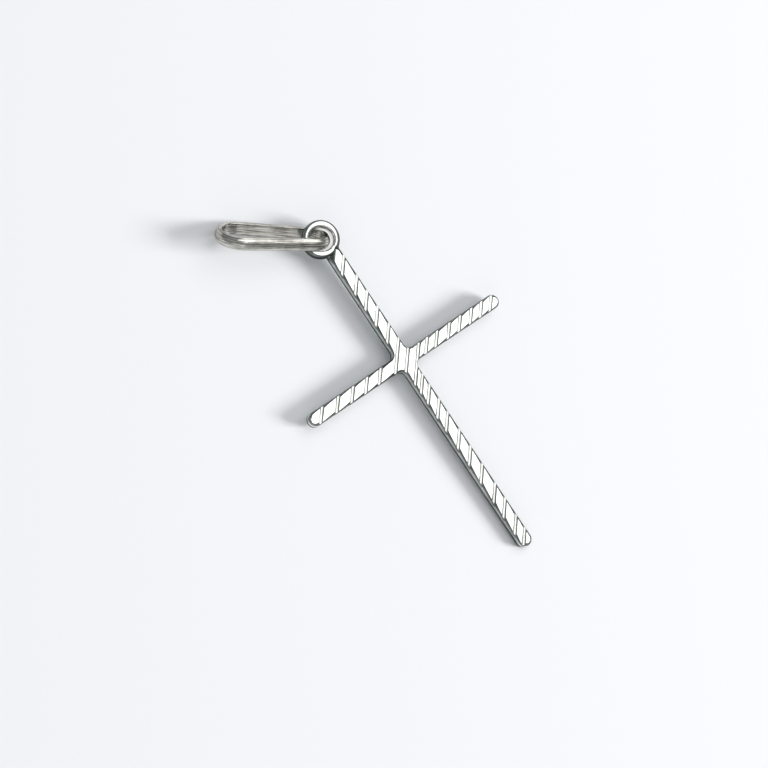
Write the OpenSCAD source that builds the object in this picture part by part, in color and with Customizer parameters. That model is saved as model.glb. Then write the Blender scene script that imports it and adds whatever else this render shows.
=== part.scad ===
// Slim Latin cross pendant with diamond-cut front, a ring eyelet and a drop-shaped bail.
// It lies as it rests on a table: the bail stands on its lower arm and leans over,
// and the eyelet lies across that arm, so the top of the cross is a little raised.
// X runs along the cross arm, Y up the upright towards the eyelet, Z is up.

/* [Cross] */
// Lower arm, from the middle of the crossing to its round tip
lower_len = 16; // [11:0.5:22]
// Upper arm, from the middle of the crossing to the outside of the eyelet
upper_len = 9.15; // [6:0.25:13]
// Each side arm, from the middle of the crossing to its round tip
side_len = 8.5; // [6:0.25:12]
// Width of the bars
bar_w = 1.08; // [0.9:0.02:1.4]
// Thickness of the bars
bar_t = 0.92; // [0.8:0.02:1.2]
// Rounding of the front edges
shoulder_r = 0.3; // [0.2:0.02:0.4]
// Rounding of the back edges
back_r = 0.08; // [0.04:0.02:0.14]
// Fillet in the four inner corners of the crossing
crotch_r = 0.45; // [0.3:0.05:0.7]

/* [Diamond cuts] */
// Direction of the cuts, measured up from the right arm
cut_angle = 50; // [40:1:56]
// Depth of a facet below the front at its shallow edge
facet_depth = 0.03; // [0.02:0.01:0.05]
// How much a facet sinks from its shallow edge to its deep edge
facet_drop = 0.05; // [0.02:0.01:0.07]
// Radius of the tool that cut the grooves between the facets
groove_r = 0.17; // [0.12:0.01:0.24]
// Depth of a groove below the front
groove_depth = 0.15; // [0.14:0.01:0.2]

/* [Eyelet] */
// Room that the band has in the eyelet's hole, beyond its own width
hole_play = 0.9; // [0.7:0.05:1.3]
// Width of the eyelet's wire, from its hole to its outside
wire_w = 0.48; // [0.36:0.02:0.6]
// Thickness of the eyelet
wire_t = 0.85; // [0.7:0.05:1]
// Rounding of the wire's edges
wire_r = 0.17; // [0.1:0.01:0.17]
// Radius of the solder in the corners between the upright and the eyelet
solder_r = 0.4; // [0.3:0.05:0.6]
// How far the eyelet is soldered off the upright's middle, to the left
eyelet_shift = 0.24; // [0:0.02:0.3]

/* [Bail] */
// Width of the band
band_w = 0.9; // [0.7:0.05:1.1]
// Thickness of the band at its crown
band_t = 0.5; // [0.4:0.02:0.6]
// Height of the band's straight side walls
band_wall = 0.22; // [0.14:0.02:0.26]
// Rounding of the band's inner edges
band_r = 0.06; // [0.03:0.01:0.08]
// Room that the eyelet's wire has inside the narrow end, beyond its thickness
bail_play = 0.91; // [0.8:0.05:1.5]
// How much wider the inner radius of the wide end is than that of the narrow end
bail_flare = 0.45; // [0.2:0.05:0.9]
// Length of each straight arm of the bail
arm_len = 5.18; // [4:0.1:8]

/* [Rest] */
// Direction in which the bail's lower arm lies, measured from the right arm
bail_heading = 144; // [120:1:165]
// How far the bail leans over from upright
bail_lean = 36; // [28:1:38]
// Gap between the band's outer face and the far wall of the hole
end_gap = 0.2; // [0.16:0.01:0.26]
// Gap between the underside of the eyelet and the band it lies across
seat_gap = 0.05; // [0.03:0.01:0.2]

/* [Hidden] */
$fn = 48;

// Places of the grooves on each arm, as shares of its length from the middle of the crossing
UPPER_CUTS = [0.247, 0.407, 0.554, 0.698, 0.884];
LOWER_CUTS = [0.131, 0.187, 0.264, 0.334, 0.429, 0.519, 0.614, 0.718, 0.798, 0.887, 0.957];
LEFT_CUTS = [0.271, 0.414, 0.559, 0.714, 0.881];
RIGHT_CUTS = [0.222, 0.329, 0.461, 0.577, 0.699, 0.808, 0.914];
// Places of the three grooves across the crossing, as shares of the bar's width from its middle
MIDDLE_CUTS = [-0.6, 0.1, 0.8];
// Where the last facet of the upper arm stops, as a share of that arm
LAST_FACET = 0.957;

// How far the bail's arms are let into its ends, and how much fuller the ends are
END_LAP = 0.08;
END_FULL = 0.01;

// Directions of the four arms, and whether their facets sink outwards
UPPER_TURN = 90;
LEFT_TURN = 180;
LOWER_TURN = 270;
RIGHT_TURN = 0;
SINK_OUT = 1;
SINK_IN = -1;

// Eyelet: its hole passes the band's width, and its outside touches the end of the upper arm
hole_r = (band_w + hole_play) / 2;
ring_r = hole_r + wire_w;
wire_mid_r = hole_r + wire_w / 2;
ring_y = upper_len + ring_r;
ring_base = (bar_t - wire_t) / 2;

// Bail: two round ends joined by straight arms that touch both
narrow_r = (wire_t + bail_play) / 2 + band_t;
wide_r = narrow_r + bail_flare;
taper = atan(bail_flare / arm_len);
bail_len = norm([arm_len, bail_flare]);
crown = band_t - band_wall;
dome_r = (band_w * band_w / 4 + crown * crown) / (2 * crown);

// Height of the narrow end's centre when the crown of the lower arm touches the table
bail_z = (narrow_r - dome_r) * cos(bail_lean) + dome_r + END_FULL;
// Height of the upper edge of the lower arm's inner face
seat_z = bail_z - (narrow_r - band_t) * cos(bail_lean) + band_w / 2 * sin(bail_lean);
// Tilt of the cross, from its lower tip to where the eyelet's wire crosses that arm
tilt = asin((seat_z + seat_gap - ring_base) / (lower_len + ring_y + wire_mid_r * sin(bail_heading)));
// Narrow end's centre, set off from the middle of the hole along the lower arm
bail_shift = narrow_r - hole_r + end_gap;
bail_x = bail_shift * cos(bail_heading) - eyelet_shift;
bail_y = (lower_len + ring_y) * cos(tilt) - lower_len + bail_shift * sin(bail_heading);

// Middle of the whole part along Y: the bail's wide end is its top, the lower tip its foot
bail_pitch_y = sin(bail_heading) * cos(taper) + cos(bail_heading) * sin(bail_lean) * sin(taper);
bail_top = bail_y + bail_len * bail_pitch_y + wide_r * norm([sin(bail_heading), cos(bail_heading) * sin(bail_lean)]);
middle_y = (bail_top - lower_len) / 2;

// Lateral reach of the cuts: past the bar's sides and a little into the fillets
cut_reach = bar_w / 2 + 0.3 * crotch_r;
middle_reach = 1.6 * bar_w;

// What a round corner of radius r takes away, outside its circle
module corner(r) {
    difference() {
        square(2 * r);
        circle(r);
    }
}

// Half of a bar's section: X from the middle of the bar, Y from the back to the front
module half_section() {
    difference() {
        square([bar_w / 2, bar_t]);
        translate([bar_w / 2 - shoulder_r, bar_t - shoulder_r]) corner(shoulder_r);
        translate([bar_w / 2 - back_r, back_r]) mirror([0, 1]) corner(back_r);
    }
}

// A straight bar from the origin along Y
module bar(length) {
    translate([0, length, 0])
        rotate([90, 0, 0])
            linear_extrude(length) {
                half_section();
                mirror([1, 0]) half_section();
            }
}

// Round tip of a bar that comes from the other side, pointing along Y
module tip() {
    rotate_extrude(angle = 180) half_section();
}

// Metal in the inner corner between +X and +Y, with the bar's own edge carried round the fillet
module crotch() {
    centre = bar_w / 2 + crotch_r;
    translate([centre, centre, 0])
        rotate([0, 0, 180])
            rotate_extrude(angle = 90)
                translate([centre, 0])
                    mirror([1, 0]) half_section();
}

// One arm from the crossing to its round tip, pointing along Y
module round_arm(length) {
    bar(length - bar_w / 2);
    translate([0, length - bar_w / 2, 0]) tip();
}

// Ring of rounded wire round the hole
module eyelet() {
    translate([-eyelet_shift, ring_y, bar_t / 2])
        rotate_extrude()
            translate([wire_mid_r, 0])
                difference() {
                    square([wire_w, wire_t], center = true);
                    for (x = [0, 1], y = [0, 1])
                        mirror([x, 0]) mirror([0, y])
                            translate([wire_w / 2 - wire_r, wire_t / 2 - wire_r]) corner(wire_r);
                }
}

// Solder in the corner between the upright's right side and the ring, with a hollow curve. The ring's middle
// lies this far to the right of the upright's.
module solder(ring_x) {
    bite = 0.05 * solder_r;
    side = bar_w / 2 + solder_r - bite;
    away = side - ring_x;
    drop = sqrt(pow(ring_r + solder_r - bite, 2) - away * away);
    touch = ring_r / (ring_r + solder_r);
    translate([0, ring_y, 0.15 * bar_t])
        linear_extrude(0.7 * bar_t)
            difference() {
                translate([0, -drop]) square([ring_x + away * touch, drop * (1 - touch) + wire_w / 4]);
                translate([side, -drop]) circle(solder_r);
            }
}

// One hollow groove across an arm that points along Y, with its middle at this place
module groove(place, turn, reach) {
    translate([0, place, bar_t - groove_depth + groove_r])
        rotate([0, 0, turn])
            rotate([0, 90, 0]) cylinder(r = groove_r, h = 2 * reach, center = true);
}

// One flat facet across an arm that points along Y, from its shallow edge to its deep edge
module facet(shallow, deep, turn, reach) {
    run = deep - shallow;
    slope = atan(facet_drop / (abs(run) * cos(turn)));
    skew = reach * tan(turn);
    translate([0, shallow, bar_t - facet_depth])
        rotate([0, 0, turn])
            rotate([run > 0 ? -slope : slope, 0, 0])
                rotate([0, 0, -turn])
                    linear_extrude(bar_t)
                        polygon([[-reach, -skew], [reach, skew], [reach, run + skew], [-reach, run - skew]]);
}

// All cuts of one arm: a groove at each place, and a facet between each two neighbours
module arm_cuts(places, length, arm_turn, sink, first, last) {
    turn = cut_angle + 90 - arm_turn - 180 * floor((cut_angle + 180 - arm_turn) / 180);
    edges = concat([first], [for (p = places) p * length], [last]);
    rotate([0, 0, arm_turn - 90]) {
        for (p = places) groove(p * length, turn, cut_reach / cos(turn));
        for (i = [1:len(edges) - 1])
            if (sink == SINK_OUT) facet(edges[i - 1], edges[i], turn, cut_reach);
            else facet(edges[i], edges[i - 1], turn, cut_reach);
    }
}

// The three long grooves of the crossing and the two facets between them
module middle_cuts() {
    rotate([0, 0, cut_angle - 180]) {
        for (p = MIDDLE_CUTS) groove(p * bar_w, 0, middle_reach);
        for (i = [1:len(MIDDLE_CUTS) - 1])
            facet(MIDDLE_CUTS[i - 1] * bar_w, MIDDLE_CUTS[i] * bar_w, 0, middle_reach);
    }
}

// Upright, cross arm and eyelet, soldered into one piece of silver
module cross_metal() {
    difference() {
        union() {
            rotate([0, 0, 180]) round_arm(lower_len);
            bar(upper_len + 0.75 * wire_w);
            rotate([0, 0, 90]) round_arm(side_len);
            rotate([0, 0, -90]) round_arm(side_len);
            for (a = [0:90:270]) rotate([0, 0, a]) crotch();
            solder(-eyelet_shift);
            mirror([1, 0, 0]) solder(eyelet_shift);
            eyelet();
        }
        middle_cuts();
        first_up = -MIDDLE_CUTS[0] * bar_w;
        first_down = MIDDLE_CUTS[2] * bar_w;
        across = sin(cut_angle);
        along = cos(cut_angle);
        arm_cuts(UPPER_CUTS, upper_len, UPPER_TURN, SINK_IN, first_up / along, LAST_FACET * upper_len);
        arm_cuts(LEFT_CUTS, side_len, LEFT_TURN, SINK_IN, first_up / across, side_len + bar_w);
        arm_cuts(LOWER_CUTS, lower_len, LOWER_TURN, SINK_OUT, first_down / along, lower_len + bar_w);
        arm_cuts(RIGHT_CUTS, side_len, RIGHT_TURN, SINK_OUT, first_down / across, side_len + bar_w);
    }
}

// Section of the band: X from its inner face to its crown, Y across its width, grown by this much all round
module band_section(grown) {
    side = band_w / 2 + grown;
    difference() {
        intersection() {
            translate([-grown, -side]) square([band_t + 2 * grown, 2 * side]);
            translate([band_t - dome_r, 0]) circle(dome_r + grown);
        }
        for (y = [0, 1])
            mirror([0, y])
                translate([band_r - grown, side - band_r]) mirror([1, 0]) corner(band_r);
    }
}

// Straight arm of the bail along X, on the +Y side of the loop, let into both ends
module bail_arm() {
    translate([-END_LAP, narrow_r - band_t, 0])
        rotate([90, 0, 90]) linear_extrude(arm_len + 2 * END_LAP) band_section(0);
}

// Round end of the bail about the origin, from this direction on, a hair fuller than the arms let into it
module bail_end(radius, start, turn) {
    rotate([0, 0, start])
        rotate_extrude(angle = turn) translate([radius - band_t, 0]) band_section(END_FULL);
}

// The loop in its own plane: narrow end round the origin, lower arm along X, wide end at +X
module bail_loop() {
    mirror([0, 1, 0]) bail_arm();
    rotate([0, 0, 2 * taper]) bail_arm();
    bail_end(narrow_r, 90 + 2 * taper, 180 - 2 * taper);
    translate([arm_len, bail_flare, 0]) bail_end(wide_r, -90, 180 + 2 * taper);
}

module cross() {
    color("silver")
        translate([0, -middle_y - lower_len, 0])
            rotate([tilt, 0, 0])
                translate([0, lower_len, 0]) cross_metal();
}

module bail() {
    color("darkgray")
        translate([bail_x, bail_y - middle_y, bail_z])
            rotate([0, 0, bail_heading])
                rotate([90 - bail_lean, 0, 0]) bail_loop();
}

cross();
bail();
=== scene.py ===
# %% [markdown]
# # A diamond-cut silver cross pendant
# This notebook dresses a small silver pendant, built beforehand as two plain solids, for a close photograph.
# The pendant has two pieces: a slim cross with a ring eyelet soldered to its top, and a loose bail that the
# neck chain runs through. Both are made again here as finer surfaces, because everything one sees on polished
# silver is the shape of its small faces: each one mirrors another part of the room.
# Every shape is worked out as whole arrays of points, so a surface is read as a formula and not as a list.

# %% Load the solids
import math

import bmesh
import bpy
import numpy as np
from mathutils import Matrix, Vector


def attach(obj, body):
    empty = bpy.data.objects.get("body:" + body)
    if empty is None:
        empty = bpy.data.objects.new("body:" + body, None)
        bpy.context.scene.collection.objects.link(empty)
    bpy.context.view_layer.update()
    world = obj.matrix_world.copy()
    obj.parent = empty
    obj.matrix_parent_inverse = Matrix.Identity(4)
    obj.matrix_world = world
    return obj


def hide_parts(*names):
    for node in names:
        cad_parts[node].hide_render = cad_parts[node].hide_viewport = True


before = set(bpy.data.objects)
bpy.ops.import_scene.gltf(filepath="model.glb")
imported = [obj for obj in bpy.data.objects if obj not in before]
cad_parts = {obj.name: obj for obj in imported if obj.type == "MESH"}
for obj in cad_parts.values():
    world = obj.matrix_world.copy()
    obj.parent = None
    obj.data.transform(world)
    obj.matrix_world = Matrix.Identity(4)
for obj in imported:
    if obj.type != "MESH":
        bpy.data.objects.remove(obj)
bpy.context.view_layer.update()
print("nodes:", sorted(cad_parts))

# %% [markdown]
# ## Sizes
# A maker of such a cross works from a few sizes: the reach of each arm from the crossing, and the width and
# thickness of the bar. The rest follows from them. All sizes are in millimetres, and one factor turns them
# into metres when a mesh is made. In the cross's own frame its flat back is at height 0, X runs along the
# right arm and Y up the upright.

# %% Sizes of the cross
MM = 0.001
LOWER_REACH = 16.0
SIDE_REACH = 8.5
BAR_WIDTH = 1.08
BAR_THICKNESS = 0.92
HALF = BAR_WIDTH / 2
# The shoulders are a little rounder than the solid's, so that the dark skin beside the cuts shows:
# partly dull metal, partly painted shade
SHOULDER = 0.37
BACK_EDGE = 0.08
FILLET = 0.45
CORNER = HALF + FILLET
RING_BOTTOM = 9.15
HOLE_RADIUS = 0.9
WIRE_WIDTH = 0.48
WIRE_THICKNESS = 0.85
RING_RADIUS = HOLE_RADIUS + WIRE_WIDTH
RING_MIDDLE = RING_BOTTOM + RING_RADIUS
# The eyelet is soldered this far off the upright's middle, to the left
RING_SHIFT = 0.24
# The upright's round end is buried in the ring's wire, this far short of the hole
END_SHORT = 0.05
UPPER_REACH = RING_BOTTOM + WIRE_WIDTH - END_SHORT
print("cross:", LOWER_REACH + RING_MIDDLE + RING_RADIUS, "mm high,", 2 * SIDE_REACH, "mm wide")

# %% [markdown]
# ## How the cross lies
# The pendant rests on a table by itself. The bail lies on its lower arm, and the eyelet lies across that arm,
# so the top of the cross is raised a little and the cross tilts about its lower tip. One turn and one shift
# lay every point of the cross into the shared frame.

# %% Lay the cross down
# This tilt rests the eyelet on the bail's arm
TILT = math.radians(1.6639)
# The lower tip's place along Y, which puts the middle of the whole part at the origin
FOOT = -15.5664
TILT_TURN = np.array([
    [1, 0, 0],
    [0, math.cos(TILT), -math.sin(TILT)],
    [0, math.sin(TILT), math.cos(TILT)],
])


def lay_cross(points):
    """Points of the cross's own frame, moved so that the lower tip is the origin, tilted about X and set down
    with that tip at FOOT."""
    return (points + [0, LOWER_REACH, 0]) @ TILT_TURN.T + [0, FOOT, 0]


print("lower tip lies at", lay_cross(np.array([0, -LOWER_REACH, 0])).round(3))

# %% [markdown]
# ## The camera
# The photograph looks down on the pendant from its left, and is turned so that the upright runs from the
# upper left to the lower right. A camera is a frame of three directions: the one back from the object, and
# the right and the top of the picture. The top starts as the upright's direction, rolled about the view.

# %% Camera
# The direction back to the camera and the point it looks at, both in the cross's own frame
VIEW_BACK = np.array([-0.29, 0.0, 0.957])
VIEW_TARGET = np.array([-2.28, -0.62, 0.5])
VIEW_ROLL = math.radians(33.66)
VIEW_DISTANCE = 152.5
LENS_LENGTH = 100
SENSOR_WIDTH = 36
NEAREST_SEEN = 10


def add_object(name, data):
    """Puts an object with this mesh, lens or light into the scene."""
    made = bpy.data.objects.new(name, data)
    bpy.context.scene.collection.objects.link(made)
    return made


def add_camera():
    """Looks at VIEW_TARGET from VIEW_DISTANCE along VIEW_BACK. The top of the picture is Y made square to the
    view, times the cosine of the roll, plus the right-hand direction times its sine."""
    back = TILT_TURN @ (VIEW_BACK / np.linalg.norm(VIEW_BACK))
    upright = TILT_TURN @ np.array([0.0, 1.0, 0.0])
    level_top = upright - (upright @ back) * back
    level_top /= np.linalg.norm(level_top)
    level_right = np.cross(level_top, back)
    top = math.cos(VIEW_ROLL) * level_top + math.sin(VIEW_ROLL) * level_right
    right = np.cross(top, back)
    place = lay_cross(VIEW_TARGET) + VIEW_DISTANCE * back
    lens = bpy.data.cameras.new("camera")
    lens.lens = LENS_LENGTH
    lens.sensor_width = SENSOR_WIDTH
    lens.clip_start = NEAREST_SEEN * MM
    camera = add_object("camera", lens)
    turn = Matrix(np.column_stack([right, top, back]).tolist())
    camera.matrix_world = Matrix.Translation(Vector((place * MM).tolist())) @ turn.to_4x4()
    bpy.context.scene.camera = camera
    return camera


camera = add_camera()
print("camera at", tuple(round(v * 1000, 1) for v in camera.matrix_world.translation), "mm")

# %% [markdown]
# ## Building blocks for meshes
# A surface here is a sheet: a grid of points with rows and columns. Neighbouring points make a square of
# mesh. Each point also keeps its grain, two lengths measured along the metal, so that a finish can run with
# the cut or with the bar. Sheets that share an edge are welded into one closed skin, and edges sharper than
# an angle are kept crisp, as a cutter leaves them.

# %% Sheets into a piece
# Points nearer than this become one point
WELD = 0.0004
# Edges sharper than this stay crisp
CRISP = math.radians(14)


def outline_length(width, height):
    """Length along an outline, from its first point to each of its points."""
    steps = np.hypot(np.diff(width, axis=-1), np.diff(height, axis=-1))
    return np.concatenate([np.zeros_like(steps[..., :1]), steps.cumsum(axis=-1)], axis=-1)


def sheet(points, grain, finish=0, keep=None):
    """A grid of points with its grain. finish numbers the material of each column of squares, or of all of
    them, and keep says which squares are really there."""
    rows, columns = points.shape[:2]
    finishes = np.broadcast_to(finish, (rows - 1, columns - 1))
    kept = np.ones((rows - 1, columns - 1), bool) if keep is None else keep
    return {"points": points, "grain": grain, "finish": finishes, "keep": kept}


def squares(one, start):
    """Corner numbers of the kept squares of a sheet whose first point has number start."""
    rows, columns = one["points"].shape[:2]
    number = start + np.arange(rows * columns).reshape(rows, columns)
    corners = [number[:-1, :-1], number[1:, :-1], number[1:, 1:], number[:-1, 1:]]
    return np.stack(corners, axis=-1)[one["keep"]]


def make_piece(name, sheets, materials, lay):
    """Puts the sheets into one mesh, in metres and laid into the shared frame, welds equal points, turns all
    faces outwards and keeps edges sharper than CRISP crisp."""
    starts = np.cumsum([0] + [one["points"][..., 0].size for one in sheets])
    points = np.concatenate([one["points"].reshape(-1, 3) for one in sheets])
    grain = np.concatenate([one["grain"].reshape(-1, 2) for one in sheets])
    faces = np.concatenate([squares(one, start) for one, start in zip(sheets, starts)])
    finish = np.concatenate([one["finish"][one["keep"]] for one in sheets])
    mesh = bpy.data.meshes.new(name)
    mesh.from_pydata((lay(points) * MM).tolist(), [], faces.tolist())
    mesh.uv_layers.new(name="grain").uv.foreach_set("vector", grain[faces.ravel()].astype(np.float32).ravel())
    mesh.polygons.foreach_set("material_index", finish.astype(np.int32))
    body = bmesh.new()
    body.from_mesh(mesh)
    bmesh.ops.remove_doubles(body, verts=body.verts, dist=WELD * MM)
    bmesh.ops.recalc_face_normals(body, faces=body.faces)
    open_edges = sum(1 for edge in body.edges if len(edge.link_faces) != 2)
    body.to_mesh(mesh)
    body.free()
    mesh.shade_smooth()
    mesh.set_sharp_from_angle(angle=CRISP)
    for material in materials:
        mesh.materials.append(material)
    print(name + ":", len(mesh.polygons), "faces,", open_edges, "open edges")
    return add_object(name, mesh)


# %% [markdown]
# ## The cross, laid out in rungs
# The front of the cross is covered with slanting cuts, all in one direction. So the whole cross is scanned by
# straight lines in that direction, called rungs here, like the rungs of a slanted ladder. A rung is named by
# its place p, its distance from the middle of the crossing, and q runs along it. Every cut then has a
# profile in p alone, and its edges are grid lines, so they come out perfectly sharp.
#
# Near the crossing one rung passes through two arms. The cross is therefore split into two strips that meet
# in a short seam between the upper left and the lower right inner corners: one strip holds the left and the
# lower arm, and the other the upper and the right arm. The second is the first one turned by half a turn,
# with other lengths, so one set of formulas serves both.

# %% Rungs and the outline
CUT_ANGLE = math.radians(50)
RUNG = np.array([math.cos(CUT_ANGLE), math.sin(CUT_ANGLE)])
STEP = np.array([math.sin(CUT_ANGLE), -math.cos(CUT_ANGLE)])
OUTER_CORNER = np.array([-CORNER, -CORNER])
INNER_CORNER = np.array([-CORNER, CORNER])
SEAM_END = INNER_CORNER @ STEP + FILLET
SEAM_Q = INNER_CORNER @ RUNG


def on_line(p, normal, offset):
    """Where a rung meets a straight edge, all points whose product with normal is offset: what p leaves of
    the offset is divided by the share of the normal that runs along the rung."""
    normal = np.array(normal)
    return (offset - (normal @ STEP) * p) / (normal @ RUNG)


def on_circle(p, centre, radius, side):
    """Where a rung meets a round edge: the centre's q, plus or minus the third side of the right-angled
    triangle over the radius and the rung's distance from the centre. A rung that misses the edge gives the
    centre's q."""
    away = p - centre @ STEP
    return centre @ RUNG + side * np.sqrt(np.maximum(radius**2 - away**2, 0))


def on_seam(p):
    """The straight seam between the two inner corners, through the middle of the crossing."""
    return -SEAM_Q * p / abs(SEAM_END)


def tip_middles(side_reach, long_reach):
    """Middles of the round tips of the side arm and of the long arm."""
    return np.array([HALF - side_reach, 0]), np.array([0, HALF - long_reach])


def outer_edge(p, inset, side_reach, long_reach):
    """q of the strip's outer edge, moved into the metal by inset: round the side arm's tip, along its edge,
    round the fillet, along the long arm's edge and round its tip."""
    half = HALF - inset
    side_tip, long_tip = tip_middles(side_reach, long_reach)
    bends = [
        side_tip @ STEP - half * STEP[1],
        -CORNER * STEP[0] - half * STEP[1],
        -half * STEP[0] - CORNER * STEP[1],
        -half * STEP[0] + long_tip @ STEP,
    ]
    edges = [
        on_circle(p, side_tip, half, -1),
        on_line(p, [0, 1], -half),
        on_circle(p, OUTER_CORNER, FILLET + inset, 1),
        on_line(p, [1, 0], -half),
        on_circle(p, long_tip, half, -1),
    ]
    return np.select([p < bend for bend in bends], edges[:-1], edges[-1])


def inner_edge(p, inset, side_reach, long_reach):
    """q of the strip's inner edge, moved in by inset: round the side arm's tip, along its edge, round the
    fillet to the seam, along the seam, round the next fillet, and along the long arm to its tip."""
    half = HALF - inset
    side_tip, long_tip = tip_middles(side_reach, long_reach)
    first_fillet = on_circle(p, INNER_CORNER, FILLET + inset, -1)
    last_fillet = on_circle(p, -INNER_CORNER, FILLET + inset, -1)
    bends = [
        side_tip @ STEP + half * STEP[1],
        -CORNER * STEP[0] + half * STEP[1],
        SEAM_END,
        SEAM_END + inset,
        -SEAM_END - inset,
        -SEAM_END,
        half * STEP[0] - CORNER * STEP[1],
        half * STEP[0] + long_tip @ STEP,
    ]
    edges = [
        on_circle(p, side_tip, half, 1),
        on_line(p, [0, 1], half),
        first_fillet,
        np.minimum(first_fillet, on_seam(p)),
        on_seam(p),
        np.minimum(last_fillet, on_seam(p)),
        last_fillet,
        on_line(p, [1, 0], half),
        on_circle(p, long_tip, half, 1),
    ]
    return np.select([p < bend for bend in bends], edges[:-1], edges[-1])


print("the seam runs from p", round(SEAM_END, 3), "to", round(-SEAM_END, 3), "mm")

# %% [markdown]
# ## The diamond cuts
# A diamond-tipped cutter leaves two marks in turn: a broad flat facet that mirrors the sky, and a narrow,
# deeper groove beside it. A facet reaches further out over the bar's rounded shoulder where it is deeper, so
# its pointed outline shows that it is twisted: deep at its sharp corners and shallow at its blunt ones. On
# the upright's right side the twist is weaker. The grooves were cut by eye, so their places are a short table
# of shares of each arm.

# %% Depth of the cuts
# Places of the grooves' middles, as shares of the way from the crossing's middle to the end of the arm. Those
# of the three grooves at the crossing are counted in widths of the bar, across the rungs
UPPER_CUTS = np.array([0.247, 0.407, 0.554, 0.698, 0.884])
LOWER_CUTS = np.array([0.131, 0.187, 0.264, 0.334, 0.429, 0.519, 0.614, 0.718, 0.798, 0.887, 0.957])
LEFT_CUTS = np.array([0.271, 0.414, 0.559, 0.714, 0.881])
RIGHT_CUTS = np.array([0.222, 0.329, 0.461, 0.577, 0.699, 0.808, 0.914])
MIDDLE_CUTS = np.array([-0.6, 0.1, 0.8]) * BAR_WIDTH
# Length of the facet beyond the outermost groove of a strip, as far as its twist goes
END_FACET = 1
FACET_DEPTH = 0.012
FACET_TWIST = 0.11
# On the right side of the upright, the facets are twisted less, by this share
RIGHT_EASE = 0.5
GROOVE_HALF = 0.15
GROOVE_DEPTH = 0.15
GROOVE_BELLY = 2.6
# The groove's walls, beyond this share of its half width, aren't polished by the cutter and have the dark
# skin, partly dull metal and partly painted shade
DULL_AND_SHADED_WALL = 0.72
# Past the last facet of the upright, the front is filed down towards the ring, this much for each millimetre
LAST_FACET = 0.985
FILED_SLOPE = 0.6

side_share, long_share = STEP[0], -STEP[1]
lower_left_cuts = np.concatenate([
    -LEFT_CUTS[::-1] * SIDE_REACH * side_share,
    MIDDLE_CUTS,
    LOWER_CUTS * LOWER_REACH * long_share,
])
upper_right_cuts = np.concatenate([
    -UPPER_CUTS[::-1] * RING_BOTTOM * long_share,
    MIDDLE_CUTS,
    RIGHT_CUTS * SIDE_REACH * side_share,
])


def cut_depth(p, cuts, twist, ease=1.0):
    """Depth of the cut surface below the uncut front. Between two grooves the facet sinks evenly, by
    FACET_TWIST times ease times a share that runs from nothing to one, or back where twist is negative. A
    groove is a rounded trough: its depth times one minus the distance from its middle to the power of
    GROOVE_BELLY, rooted again."""
    edges = np.concatenate([[cuts[0] - END_FACET], cuts, [cuts[-1] + END_FACET]])
    gap = np.clip(np.searchsorted(edges, p) - 1, 0, len(edges) - 2)
    run = np.clip((p - edges[gap]) / (edges[gap + 1] - edges[gap]), 0, 1)
    facet = FACET_DEPTH + FACET_TWIST * ease * (0.5 + 0.5 * twist * (2 * run - 1))
    away = np.abs(p[:, None] - cuts).min(axis=-1) / GROOVE_HALF
    trough = np.maximum(1 - away**GROOVE_BELLY, 0) ** (1 / GROOVE_BELLY)
    return np.maximum(facet, GROOVE_DEPTH * trough)


print(len(lower_left_cuts), "grooves on the left and lower arms,", len(upper_right_cuts), "on the others")

# %% [markdown]
# ## Where the rungs stand
# Rungs are close together where the metal bends: in each groove, round the tips and round the fillets. On a
# facet a few are enough. Both strips use the same rungs at the crossing, so that they can be welded there.

# %% Places of the rungs
# Numbers of rungs across a groove, in a bend of the inner edge, round a fillet and round a tip
GROOVE_RUNGS = 11
BEND_RUNGS = 7
FILLET_RUNGS = 9
TIP_RUNGS = 17
# Rungs round a tip start at this share of a quarter turn
TIP_START = 0.2
# Inwards from each end of the seam, the edge of the cut bends into it over this length
SEAM_BEND = 0.18
# Elsewhere the rungs are this far apart, but none stands nearer to a main one than a seventh of it
SPACING = 0.09
CROWDED = SPACING / 7
# A strip's own rungs keep this far from those of the seam
OFF_SEAM = 10 * WELD


def tip_rungs(reach, share, sign):
    """Rungs round one tip: its middle in p, plus the half width times the sine of equal angles."""
    angle = np.linspace(TIP_START, 1, TIP_RUNGS) * math.pi / 2
    return sign * ((reach - HALF) * share + HALF * np.sin(angle))


def main_rungs(cuts, side_reach, long_reach):
    """Rungs that a strip can't do without: those of its grooves, tips and fillets and of the seam's ends."""
    trough = GROOVE_HALF * np.sin(np.linspace(-1, 1, GROOVE_RUNGS) * math.pi / 2)
    bend = np.linspace(HALF * STEP[1] - CORNER * STEP[0], SEAM_END, BEND_RUNGS)
    turn = np.linspace(SEAM_END, SEAM_END + SEAM_BEND, BEND_RUNGS)
    fillet_ends = (-CORNER * STEP[0] - HALF * STEP[1], -HALF * STEP[0] - CORNER * STEP[1])
    fillet = np.linspace(*fillet_ends, FILLET_RUNGS)
    side_tip = tip_rungs(side_reach, side_share, -1)
    long_tip = tip_rungs(long_reach, long_share, 1)
    parts = [(cuts[:, None] + trough).ravel(), bend, turn, -bend, -turn, fillet, -fillet, side_tip, long_tip]
    rungs = np.concatenate(parts)
    return rungs[(rungs >= side_tip.min()) & (rungs <= long_tip.max())]


def fill_rungs(main):
    """The main rungs, with evenly spaced ones between them where no main one is near. Of rungs that all but
    touch, only the first is kept."""
    even = np.arange(main.min(), main.max(), SPACING)
    free = np.abs(even[:, None] - main).min(axis=1) > CROWDED
    rungs = np.sort(np.concatenate([main, even[free]]))
    return rungs[np.append(True, np.diff(rungs) > WELD)]


SEAM_REACH = abs(SEAM_END)
lower_left_main = main_rungs(lower_left_cuts, SIDE_REACH, LOWER_REACH)
upper_right_main = -main_rungs(-upper_right_cuts[::-1], SIDE_REACH, UPPER_REACH)
both_main = np.concatenate([lower_left_main, upper_right_main, [-SEAM_REACH, SEAM_REACH]])
shared_rungs = fill_rungs(both_main[np.abs(both_main) <= SEAM_REACH])


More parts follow.
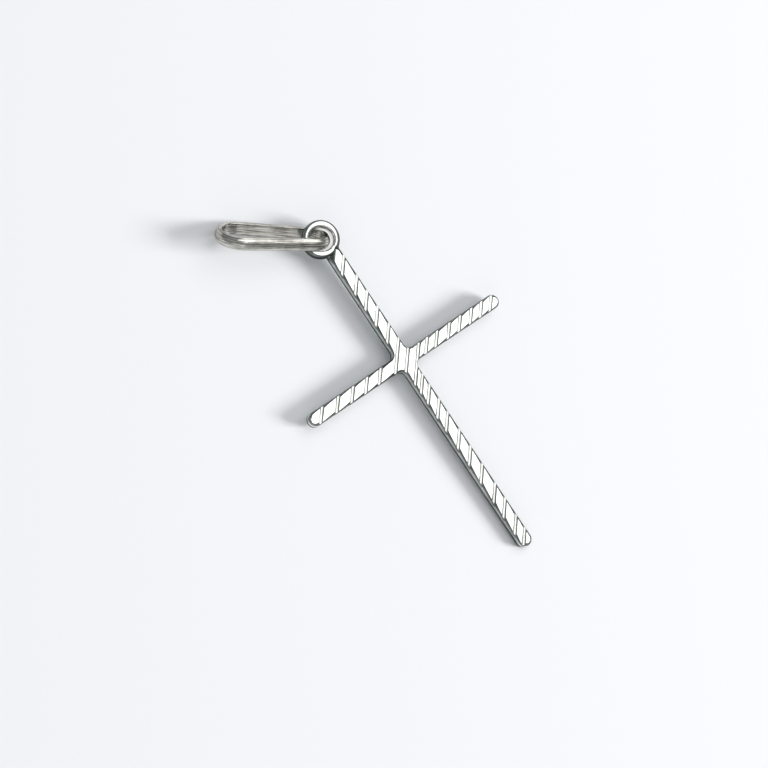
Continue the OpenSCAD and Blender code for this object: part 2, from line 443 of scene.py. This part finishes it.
def with_shared(main):
    """A strip's own rungs outside the seam's reach, and the shared ones inside it."""
    own = fill_rungs(main)
    return np.sort(np.concatenate([own[np.abs(own) > SEAM_REACH + OFF_SEAM], shared_rungs]))


lower_left_rungs = with_shared(lower_left_main)
upper_right_rungs = with_shared(upper_right_main)
print(len(lower_left_rungs), "and", len(upper_right_rungs), "rungs,", len(shared_rungs), "of them shared")

# %% [markdown]
# ## The bar's section along a rung
# Walking round the bar along one rung gives a closed loop: up the rounded shoulder to the edge of the cut,
# straight across the cut, down the other shoulder, down the wall, round the small edge of the back and
# across the back. The loops of all rungs, side by side, are the skin of the cross.

# %% Roundings
def edge_distance(x, y, side_reach, long_reach):
    """Distance from the outline, into the metal: from the tips' circles beyond their middles, from the
    straight edges along the arms, and from the fillets' circles near the crossing."""
    out_x = np.abs(x)
    out_y = np.abs(y)
    along_side = HALF - np.hypot(np.maximum(out_x - side_reach + HALF, 0), y)
    along_long = HALF - np.hypot(np.maximum(out_y - long_reach + HALF, 0), x)
    crossing = np.hypot(CORNER - out_x, CORNER - out_y) - FILLET
    return np.select([out_x >= CORNER, out_y >= CORNER], [along_side, along_long], crossing)


def rounding(distance, radius):
    """How far a rounded edge has fallen at this distance from the outline: its radius less the height of
    the circle there."""
    short = np.clip(radius - distance, 0, radius)
    return radius - np.sqrt(radius**2 - short**2)


def round_insets(depth, radius, steps):
    """Insets from the outline to where a rounded edge has fallen by depth, at equal angles round it."""
    last = np.arccos(np.sqrt(np.maximum(radius**2 - (radius - depth) ** 2, 0)) / radius)
    return radius * (1 - np.cos(last[:, None] * np.linspace(0, 1, steps)))


# %% [markdown]
# ## From loops to bars
# The same columns of squares run down every loop, so a column's number says which part of the section it
# belongs to, and with it the finish of its metal. Along the seam each strip leaves its far wall out, and the
# two strips are welded there.

# %% Front, walls and back
# Points up a shoulder, across the cut between the shoulders, down a wall and round an edge of the back
SHOULDER_STEPS = 10
FRONT_STEPS = 6
WALL_STEPS = 3
BACK_STEPS = 4
# Columns of squares across the front, and the number of the column that is the flat back
FRONT_COLUMNS = 2 * SHOULDER_STEPS + FRONT_STEPS - 1
BACK_COLUMN = FRONT_COLUMNS + WALL_STEPS + BACK_STEPS
# Columns of each wall, next to the back, with the dark skin as a painted shadow line along the bar's bottom
SHADOW_FOOT_STEPS = 2
# Columns of each shoulder, next to the wall, that are polished with it; the rest of the shoulder has the
# dark skin, partly painted shade
POLISHED_STEPS = 3
# Along the seam, the facets beside the middle grooves run on to this distance from the crossing's middle
SEAM_FACET_END = 1.6
# Numbers of the cross's four finishes
CUT, GROOVE, SKIN_AND_PAINTED_SHADE, SIDE = 0, 1, 2, 3


def to_plane(p, q):
    """x and y of a point on a rung: p steps across the rungs plus q along its own."""
    return p * STEP[0] + q * RUNG[0], p * STEP[1] + q * RUNG[1]


def front_profile(p, near_depth, far_depth, reaches):
    """q and height across the front: up one shoulder, straight across the cut, down the other shoulder."""
    near = outer_edge(p, round_insets(near_depth, SHOULDER, SHOULDER_STEPS), *reaches)
    far = inner_edge(p, round_insets(far_depth, SHOULDER, SHOULDER_STEPS), *reaches)[:, ::-1]
    share = np.linspace(0, 1, FRONT_STEPS + 2)[1:-1]
    q = np.hstack([near, near[:, -1:] * (1 - share) + far[:, :1] * share, far])
    across = np.clip((q - near[:, -1:]) / np.maximum(far[:, :1] - near[:, -1:], WELD), 0, 1)
    depth = near_depth[:, None] * (1 - across) + far_depth[:, None] * across
    fall = rounding(edge_distance(*to_plane(p, q), *reaches), SHOULDER)
    return q, BAR_THICKNESS - np.maximum(fall, depth)


def back_profile(p, reaches):
    """q and height across the back, with its small rounded edges."""
    insets = round_insets(np.zeros(1), BACK_EDGE, BACK_STEPS)
    near = outer_edge(p, insets, *reaches)
    far = inner_edge(p, insets, *reaches)[:, ::-1]
    q = np.hstack([near, far])
    return q, rounding(edge_distance(*to_plane(p, q), *reaches), BACK_EDGE)


def strip_depths(rungs, cuts, half_turn, filed_from):
    """Depth at both ends of each rung: that of the cuts or of the filed end, whichever is deeper. Along the
    seam, the far end follows the middle cuts alone. Past the seam the twist eases off on the upright's right
    side, which is the far end in the first strip and the near end in the strip turned round."""
    at_seam = np.abs(rungs) <= SEAM_REACH
    twist = np.clip(rungs / SEAM_REACH, -1, 1)
    seam_cuts = np.concatenate([[-SEAM_FACET_END], cuts[np.abs(cuts) < SEAM_REACH], [SEAM_FACET_END]])
    right_ease = 1 - RIGHT_EASE * np.clip(rungs / SEAM_REACH - 1, 0, 1)
    near_ease, far_ease = (1, right_ease) if half_turn > 0 else (right_ease, 1)
    near_depth = cut_depth(rungs, cuts, twist, near_ease)
    seam_depth = cut_depth(rungs, seam_cuts, -twist)
    far_depth = np.where(at_seam, seam_depth, cut_depth(rungs, cuts, -twist, far_ease))
    filed = FILED_SLOPE * (rungs - filed_from)
    return np.maximum(near_depth, filed), np.maximum(far_depth, filed)


def strip_finish(rungs, cuts, filed_from, columns):
    """Finish of each square of a strip. Across the front the facets are bright and the grooves' floors a
    little less so, and the grooves' walls, the filed end and the shoulders have the dark skin, partly dull
    metal and partly painted shade. The sides are polished, from low on the shoulder down to their foot, where
    the dark skin paints a shadow line along the bottom of the wall."""
    middle = (rungs[:-1] + rungs[1:])[:, None] / 2
    off_groove = np.abs(middle - cuts).min(axis=1, keepdims=True) / GROOVE_HALF
    places = [middle > filed_from, off_groove < DULL_AND_SHADED_WALL, off_groove < 1]
    along = np.select(places, [SKIN_AND_PAINTED_SHADE, GROOVE, SKIN_AND_PAINTED_SHADE], CUT)
    on_front = (columns >= SHOULDER_STEPS - 1) & (columns <= SHOULDER_STEPS + FRONT_STEPS - 1)
    off_back = np.abs(columns - BACK_COLUMN)
    foot = (off_back > 0) & (off_back < BACK_STEPS + SHADOW_FOOT_STEPS)
    shoulders = (columns >= POLISHED_STEPS) & (columns < FRONT_COLUMNS - POLISHED_STEPS)
    around = np.where(shoulders | foot, SKIN_AND_PAINTED_SHADE, SIDE)
    return np.where(on_front, along, around)


def loop_profile(p, near_depth, far_depth, reaches):
    """q and height once round the bar: across the front, down the far wall, back across the back and up the
    near wall. The walls stand upright, so only their height runs evenly."""
    front_q, front_z = front_profile(p, near_depth, far_depth, reaches)
    back_q, back_z = back_profile(p, reaches)
    share = np.linspace(0, 1, WALL_STEPS + 2)[1:-1]
    far_wall = front_z[:, -1:] * (1 - share) + back_z[:, -1:] * share
    near_wall = back_z[:, :1] * (1 - share) + front_z[:, :1] * share
    sides = np.ones((1, WALL_STEPS))
    q = np.hstack([front_q, front_q[:, -1:] * sides, back_q[:, ::-1], front_q[:, :1] * sides, front_q[:, :1]])
    z = np.hstack([front_z, far_wall, back_z[:, ::-1], near_wall, front_z[:, :1]])
    return q, z


def strip_sheet(rungs, cuts, reaches, half_turn=1, filed_from=math.inf):
    """The loops of all rungs of a strip, as one sheet. Along the seam its far wall is left out, because there
    is metal on both sides. half_turn is -1 for the strip that is the other one turned round."""
    p = rungs[:, None]
    q, z = loop_profile(p, *strip_depths(rungs, cuts, half_turn, filed_from), reaches)
    x, y = to_plane(p, q)
    columns = np.arange(q.shape[1] - 1)
    far_wall_column = (columns >= FRONT_COLUMNS) & (columns <= FRONT_COLUMNS + WALL_STEPS)
    at_seam = np.abs(p) <= SEAM_REACH
    inside = at_seam[:-1] & at_seam[1:] & far_wall_column
    points = np.stack([half_turn * x, half_turn * y, z], axis=-1)
    grain = np.stack([np.broadcast_to(p, q.shape), outline_length(q, z)], axis=-1)
    return sheet(points, grain, strip_finish(rungs, cuts, filed_from, columns), ~inside)


bars = [
    strip_sheet(lower_left_rungs, lower_left_cuts, (SIDE_REACH, LOWER_REACH)),
    strip_sheet(-upper_right_rungs[::-1], -upper_right_cuts[::-1], (SIDE_REACH, UPPER_REACH), -1,
                LAST_FACET * RING_BOTTOM * long_share),
]
print("the bars' sheets have", [one["points"].shape[:2] for one in bars], "points")

# %% [markdown]
# ## The eyelet and its solder
# The eyelet is a ring of stout wire with rounded edges: one rounded rectangle carried round a circle. Where
# it meets the upright, solder has run into both corners and set with a hollow curve. That is a second
# profile, carried along the upright, whose half width follows the circle that touches both the bar and the
# ring. It lies lower than the bar, so that the bar's filed end shows as a dark notch beside the ring.

# %% Eyelet
WIRE_ROUNDING = 0.19
# The ring was rubbed down by hand, so its edges are rounder on two sides: by this much, towards this angle
ROUNDING_WAVE = 0.045
WAVE_ANGLE = math.radians(-38)
# A dent at the outer edge of the ring's front, over the joint: its depth, its place and its half width
DENT_DEPTH = 0.14
DENT_ANGLE = math.radians(292)
DENT_REACH = math.radians(7)
# The dent fades towards the hole, and is gone this share of the wire's width inside the wire's middle
DENT_FADE = 0.3
SOLDER_RADIUS = 0.4
SOLDER_HEIGHT = 0.46
SOLDER_ROUNDING = 0.16
# The solder runs from this far below the ring to this far short of the hole
SOLDER_BELOW = 0.5
SOLDER_SHORT = 0.1
# Points round each corner of a rounded rectangle
CORNER_STEPS = 7


def rounded_rectangle(half_width, half_height, radius):
    """A closed outline, counter-clockwise: four quarter circles round the corners' middles. half_width or
    radius may be a column of values, which gives one outline for each."""
    angle = np.linspace(0, math.pi / 2, CORNER_STEPS)
    quarter = np.concatenate([angle + k * math.pi / 2 for k in range(4)])
    to_right = np.repeat([1, -1, -1, 1], CORNER_STEPS)
    to_top = np.repeat([1, 1, -1, -1], CORNER_STEPS)
    width = (half_width - radius) * to_right + radius * np.cos(quarter)
    height = (half_height - radius) * to_top + radius * np.sin(quarter)
    height = np.broadcast_to(height, np.shape(width))
    return np.concatenate([width, width[..., :1]], -1), np.concatenate([height, height[..., :1]], -1)


def eyelet_sheet(turns=181):
    """The wire's section carried round the ring: each point turns about the ring's middle at its own radius.
    The section's corners are WIRE_ROUNDING plus a wave that swings twice in a turn. The dent is a bell curve
    round the ring. The wire has the dark skin on the outside, partly dull metal and partly painted shade that
    darkens the ring's outline, and is polished on its top and in the hole."""
    angle = np.linspace(0, 2 * math.pi, turns)[:, None]
    rounding_here = WIRE_ROUNDING + ROUNDING_WAVE * np.cos(2 * (angle - WAVE_ANGLE))
    out, up = rounded_rectangle(WIRE_WIDTH / 2, WIRE_THICKNESS / 2, rounding_here)
    dent = DENT_DEPTH * np.exp(-((angle - DENT_ANGLE) / DENT_REACH) ** 2)
    up = up - dent * np.clip(out / WIRE_WIDTH + DENT_FADE, 0, 1) * (up > 0)
    radius = HOLE_RADIUS + WIRE_WIDTH / 2 + out
    x = radius * np.cos(angle) - RING_SHIFT
    y = radius * np.sin(angle) + RING_MIDDLE
    points = np.stack([x, y, BAR_THICKNESS / 2 + up], axis=-1)
    grain = np.stack(np.broadcast_arrays(angle * RING_RADIUS, outline_length(out, up)), axis=-1)
    columns = np.arange(out.shape[1] - 1)
    outside = (columns < CORNER_STEPS - 1) | (columns >= 3 * CORNER_STEPS)
    return sheet(points, grain, np.where(outside, SKIN_AND_PAINTED_SHADE, CUT))


def solder_reach(y, ring_x):
    """How far the solder stands out from the upright's middle, on the side towards which the ring's middle
    lies off by ring_x: the bar's half width, and then the hollow circle that touches bar and ring."""
    away = HALF + SOLDER_RADIUS - ring_x
    drop = math.sqrt((RING_RADIUS + SOLDER_RADIUS) ** 2 - away**2)
    rise = np.clip(y - RING_MIDDLE + drop, 0, drop * SOLDER_RADIUS / (RING_RADIUS + SOLDER_RADIUS))
    return HALF + SOLDER_RADIUS - np.sqrt(SOLDER_RADIUS**2 - rise**2)


def solder_sheet(steps=30):
    """A rounded section carried up the upright, as wide on each side as the solder reaches, less a hair that
    keeps it inside the bar's walls. It closes to a point at both ends, inside the metal."""
    start = RING_BOTTOM - SOLDER_BELOW
    end = RING_BOTTOM + WIRE_WIDTH - SOLDER_SHORT
    y = np.concatenate([[start], np.linspace(start, end, steps), [end]])
    left, right = solder_reach(y, RING_SHIFT), solder_reach(y, -RING_SHIFT)
    half = ((left + right) / 2 - 2 * WELD)[:, None]
    across, height = rounded_rectangle(half, SOLDER_HEIGHT / 2, SOLDER_ROUNDING)
    across[[0, -1]] = 0
    height[[0, -1]] = 0
    x = across + ((right - left) / 2)[:, None]
    points = np.stack([x, np.broadcast_to(y[:, None], x.shape), BAR_THICKNESS / 2 + height], axis=-1)
    grain = np.stack([np.broadcast_to(y[:, None], x.shape), outline_length(across, height)], axis=-1)
    return sheet(points, grain, SKIN_AND_PAINTED_SHADE)


eyelet = [eyelet_sheet(), solder_sheet()]
print("ring from", RING_BOTTOM, "to", round(RING_MIDDLE + RING_RADIUS, 2), "mm above the crossing")

# %% [markdown]
# ## Silver
# Silver mirrors nearly all light, so its colour is that of the room, and its finish is only how sharp that
# mirror is. Five finishes are needed. The cutter leaves fine lines along each bright facet, and a greyer
# mirror on the floor of each groove. What it doesn't reach, the rounded shoulders and the grooves' walls,
# keeps a dark grey skin: partly dull metal, and partly painted shade that draws a dark line round every cut.
# The sides are polished, up to the lowest part of the shoulders, and have a few streaks along the bar. The
# bail is brushed along its band, a little warmer and duller. In each, a noise is stretched along the grain,
# and gives the tint, the roughness and a very low relief.

# %% Finishes
# Clouds for each millimetre, where the metal has dulled unevenly
CLOUDS = 1.2
# Shares of the dulling at which the colour leaves the tint and reaches the shade
DULL_FROM = 0.4
DULL_TO = 0.6
# Values of the noise at which the roughness is at its lowest and at its highest
NOISE_LOW = 0.3
NOISE_HIGH = 0.7


def link_node(tree, kind, **inputs):
    """Adds a shader node, with its inputs set to values or joined to other nodes' outputs."""
    made = tree.nodes.new("ShaderNode" + kind)
    for name, value in inputs.items():
        socket = made.inputs[name.replace("_", " ")]
        if isinstance(value, bpy.types.NodeSocket):
            tree.links.new(value, socket)
        else:
            socket.default_value = value
    return made


def dulled_share(tree, lines, streaks):
    """How far the metal has dulled at each place: streaks times the noise in lines along the grain, plus the
    rest times a noise in clouds."""
    place = tree.nodes.new("ShaderNodeTexCoord")
    clouds = link_node(tree, "TexNoise", Vector=place.outputs["Object"], Scale=CLOUDS / MM, Detail=2.0)
    in_lines = link_node(tree, "MapRange", Value=lines.outputs["Fac"], To_Min=0.0, To_Max=streaks)
    in_clouds = link_node(tree, "MapRange", Value=clouds.outputs["Fac"], To_Min=0.0, To_Max=1 - streaks)
    both = tree.nodes.new("ShaderNodeMath")
    tree.links.new(in_lines.outputs["Result"], both.inputs[0])
    tree.links.new(in_clouds.outputs["Result"], both.inputs[1])
    return both.outputs["Value"]


def silver(name, tint, shade, stretch, roughness, relief, streaks=0.5, rim=1.0):
    """Silver whose grain is stretched: stretch is the number of lines for each millimetre along u and v. The
    colour goes from tint to shade where the metal has dulled. roughness is a pair, and relief is in
    millimetres. A rim below one darkens it where it is seen from the side, as a dull film does; set low, it
    paints shade into the dark outlines."""
    material = bpy.data.materials.new(name)
    material.use_nodes = True
    tree = material.node_tree
    shader = tree.nodes["Principled BSDF"]
    shader.inputs["Metallic"].default_value = 1.0
    shader.inputs["Specular Tint"].default_value = (rim, rim, rim, 1)
    grain = tree.nodes.new("ShaderNodeUVMap")
    grain.uv_map = "grain"
    lines_at = link_node(tree, "Mapping", Vector=grain.outputs["UV"], Scale=(*stretch, 1))
    lines = link_node(tree, "TexNoise", Vector=lines_at.outputs["Vector"], Scale=1.0, Detail=3.0)
    dulling = link_node(tree, "ValToRGB", Fac=dulled_share(tree, lines, streaks))
    clear, dulled = dulling.color_ramp.elements
    clear.position, clear.color = DULL_FROM, (*tint, 1)
    dulled.position, dulled.color = DULL_TO, (*shade, 1)
    tree.links.new(dulling.outputs["Color"], shader.inputs["Base Color"])
    polish = link_node(tree, "MapRange", Value=lines.outputs["Fac"], From_Min=NOISE_LOW, From_Max=NOISE_HIGH,
                       To_Min=roughness[0], To_Max=roughness[1])
    tree.links.new(polish.outputs["Result"], shader.inputs["Roughness"])
    bump = link_node(tree, "Bump", Height=lines.outputs["Fac"], Distance=relief * MM)
    tree.links.new(bump.outputs["Normal"], shader.inputs["Normal"])
    return material


cut_silver = silver("diamond_cut", tint=(0.98, 0.98, 0.96), shade=(0.90, 0.90, 0.87),
                    stretch=(16, 0.7), roughness=(0.08, 0.16), relief=0.003)
groove_silver = silver("groove_floor", tint=(0.84, 0.85, 0.82), shade=(0.6, 0.61, 0.57),
                       stretch=(18, 0.5), roughness=(0.14, 0.24), relief=0.006)
# The dark skin's colour and low rim are partly dull metal and partly painted shade: they draw the dark line
# round every cut, in the grooves' walls, round the eyelet and on the solder
skin_and_painted_shade_silver = silver("dull_skin_and_painted_shade", tint=(0.27, 0.29, 0.28), shade=(0.14, 0.16, 0.15),
                     stretch=(1.2, 9), roughness=(0.25, 0.4), relief=0.006, rim=0.15)
side_silver = silver("polished_sides", tint=(0.96, 0.98, 0.95), shade=(0.56, 0.61, 0.57),
                     stretch=(0.6, 9), roughness=(0.16, 0.3), relief=0.012)
band_silver = silver("brushed_band", tint=(0.8, 0.79, 0.74), shade=(0.22, 0.21, 0.18),
                     stretch=(0.4, 14), roughness=(0.12, 0.26), relief=0.02, streaks=0.75, rim=0.7)
cross_finishes = [cut_silver, groove_silver, skin_and_painted_shade_silver, side_silver]
print("finishes:", [material.name for material in cross_finishes + [band_silver]])

# %% [markdown]
# ## The cross in one piece
# The two strips, the eyelet and the solder become one mesh, as soldered metal is one body, and it is laid
# down. The order of its finishes is that of their numbers above.

# %% Make the cross
cross = make_piece("cross_silver", bars + eyelet, cross_finishes, lay_cross)

# %% [markdown]
# ## The bail
# The bail is a band bent into a drop: a narrow round end that sits in the eyelet, a wide round end for the
# chain, and two straight arms that touch both. The band is flat inside and domed outside. Such a path is
# easiest to write with a moving middle: each of its points is a middle, plus a radius in some direction.
# Along an arm the middle slides, and round an end the direction turns.

# %% Bail
BAND_WIDTH = 0.9
BAND_THICKNESS = 0.5
# The dome is flatter than on the solid, because the picture's highlight keeps to the edge of the band
BAND_WALL = 0.29
BAND_ROUNDING = 0.06
# Radii of the dome's crown round both ends, and the length of a straight arm
NARROW_RADIUS = 1.38
WIDE_RADIUS = 1.83
ARM_LENGTH = 5.18
# Where the drop points, turned from X, and how far its plane leans over from upright
HEADING = math.radians(144)
LEAN = math.radians(36)
# The middle of the narrow end, in the shared frame
NARROW_MIDDLE = np.array([-0.7901, 11.3521, 1.2222])
FLARE = WIDE_RADIUS - NARROW_RADIUS
TAPER = math.atan(FLARE / ARM_LENGTH)


def bail_path(arm_steps=40, end_steps=72):
    """Middles, radii and directions of the loop's crown: out along the lower arm, round the wide end, back
    along the upper arm and round the narrow end."""
    arm = np.linspace(0, 1, arm_steps, endpoint=False)
    below = -math.pi / 2
    above = math.pi / 2 + 2 * TAPER
    lower_turn = np.full(arm_steps, below)
    wide_turn = np.linspace(below, above, end_steps, endpoint=False)
    upper_turn = np.full(arm_steps, above)
    narrow_turn = np.linspace(above, below + 2 * math.pi, end_steps)
    turn = np.concatenate([lower_turn, wide_turn, upper_turn, narrow_turn])
    lower_middle = np.stack([ARM_LENGTH * arm, 0 * arm], axis=-1)
    wide_middle = np.tile([ARM_LENGTH, FLARE], (end_steps, 1))
    upper_middle = ARM_LENGTH * (1 - arm[:, None]) * [math.cos(2 * TAPER), math.sin(2 * TAPER)]
    narrow_middle = np.zeros((end_steps, 2))
    middle = np.concatenate([lower_middle, wide_middle, upper_middle, narrow_middle])
    radius = np.full(len(turn), NARROW_RADIUS)
    radius[arm_steps:arm_steps + end_steps] = WIDE_RADIUS
    return middle, radius, turn


def band_section(dome_steps=18, corner_steps=5, flat_steps=3):
    """Height above the inner face and place across the band, once round: a small rounded corner, the side
    wall, the dome as a circle through both walls' tops and the crown, back down, and the flat inner face."""
    half = BAND_WIDTH / 2
    crown = BAND_THICKNESS - BAND_WALL
    dome = (half**2 + crown**2) / (2 * crown)
    angle = np.linspace(0, math.pi / 2, corner_steps)
    corner_up = BAND_ROUNDING * (1 - np.sin(angle[::-1]))
    corner_across = half - BAND_ROUNDING + BAND_ROUNDING * np.cos(angle[::-1])
    across = half * np.cos(np.linspace(0, math.pi, dome_steps))
    up = BAND_THICKNESS - dome + np.sqrt(dome**2 - across**2)
    flat = np.linspace(-1, 1, flat_steps + 2)[1:-1] * (half - BAND_ROUNDING)
    all_up = np.concatenate([corner_up, up, corner_up[::-1], 0 * flat])
    all_across = np.concatenate([corner_across, across, -corner_across[::-1], flat])
    return np.append(all_up, all_up[0]), np.append(all_across, all_across[0])


def bail_sheet():
    """The band's section carried along the path: its height is added to the radius of the inner face."""
    middle, radius, turn = bail_path()
    up, across = band_section()
    out = radius[:, None] - BAND_THICKNESS + up
    x = middle[:, :1] + out * np.cos(turn)[:, None]
    y = middle[:, 1:] + out * np.sin(turn)[:, None]
    points = np.stack([x, y, np.broadcast_to(across, x.shape)], axis=-1)
    crown = np.stack([x[:, up.argmax()], y[:, up.argmax()]])
    along = np.concatenate([[0], np.hypot(*np.diff(crown, axis=1)).cumsum()])[:, None]
    grain = np.stack(np.broadcast_arrays(along, outline_length(up, across)), axis=-1)
    return sheet(points, grain)


def lay_bail(points):
    """Points of the loop's own plane, turned up to the loop's lean, turned to its heading and moved so that
    the middle of the narrow end is in its place."""
    rise = math.pi / 2 - LEAN
    upright = np.array([[1, 0, 0], [0, math.cos(rise), -math.sin(rise)], [0, math.sin(rise), math.cos(rise)]])
    turned = np.array([
        [math.cos(HEADING), -math.sin(HEADING), 0],
        [math.sin(HEADING), math.cos(HEADING), 0],
        [0, 0, 1],
    ])
    return points @ (turned @ upright).T + NARROW_MIDDLE


bail = make_piece("bail_silver", [bail_sheet()], [band_silver], lay_bail)

# %% [markdown]
# ## Floor
# The floor is a plain pale sheet, large enough to fill the picture and too matt to mirror the pendant. It
# isn't part of the object.

# %% Floor
FLOOR_HALF = 600
FLOOR_COLOUR = (0.86, 0.87, 0.9, 1)


def add_floor():
    """One large square at height 0, in a matt pale white."""
    material = bpy.data.materials.new("pale_floor")
    material.use_nodes = True
    shader = material.node_tree.nodes["Principled BSDF"]
    shader.inputs["Base Color"].default_value = FLOOR_COLOUR
    shader.inputs["Roughness"].default_value = 0.9
    shader.inputs["Specular IOR Level"].default_value = 0.1
    side = np.array([[-1, -1, 0], [1, -1, 0], [1, 1, 0], [-1, 1, 0]]) * FLOOR_HALF * MM
    mesh = bpy.data.meshes.new("floor")
    mesh.from_pydata(side.tolist(), [], [[0, 1, 2, 3]])
    mesh.materials.append(material)
    return add_object("floor", mesh)


floor = add_floor()
print("the floor is", 2 * FLOOR_HALF, "mm wide")

# %% [markdown]
# ## Light
# Polished silver needs something bright to mirror and something dark beside it, or its edges vanish. A large
# soft panel stands where the flat cuts mirror it into the camera, so they turn white. A pale wall on the left
# is what the inside of the bail's lower arm mirrors. A window, far off to the right, throws the soft shadows,
# and is kept out of the mirrors, because its glare would drown them. The room around them is dim, and the
# rounded shoulders, which mirror it, draw a dark line round every cut.

# %% Lights
ROOM_COLOUR = (0.3, 0.305, 0.31, 1)


def add_panel(name, direction, distance, size, brightness, colour=(1, 1, 1)):
    """A square light that faces the crossing from this direction. brightness is how white it looks to a
    mirror, and the power follows from it: brightness times pi times the panel's area."""
    back = np.array(direction) / np.linalg.norm(direction)
    light = bpy.data.lights.new(name, "AREA")
    light.shape = "SQUARE"
    light.size = size * MM
    light.energy = brightness * math.pi * (size * MM) ** 2
    light.color = colour
    panel = add_object(name, light)
    panel.location = Vector((back * distance * MM).tolist())
    panel.rotation_euler = Vector(back.tolist()).to_track_quat("Z", "Y").to_euler()
    return panel


add_panel("sky_panel", direction=(0.42, 0.08, 0.9), distance=400, size=370, brightness=1.45)
add_panel("pale_wall", direction=(-0.66, -0.58, 0.42), distance=500, size=500, brightness=0.42)
window = add_panel("window", direction=(0.62, -0.62, 0.5), distance=900, size=290, brightness=29,
                   colour=(1, 0.99, 0.97))
window.visible_glossy = False

room = bpy.data.worlds.new("dim_room")
room.use_nodes = True
room.node_tree.nodes["Background"].inputs["Color"].default_value = ROOM_COLOUR
room.node_tree.nodes["Background"].inputs["Strength"].default_value = 1.0
bpy.context.scene.world = room
bpy.context.scene.view_settings.view_transform = "Standard"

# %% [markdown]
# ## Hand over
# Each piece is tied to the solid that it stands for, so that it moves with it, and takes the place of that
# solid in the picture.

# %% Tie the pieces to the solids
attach(cross, "root")
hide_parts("cross")
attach(bail, "root")
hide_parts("bail")
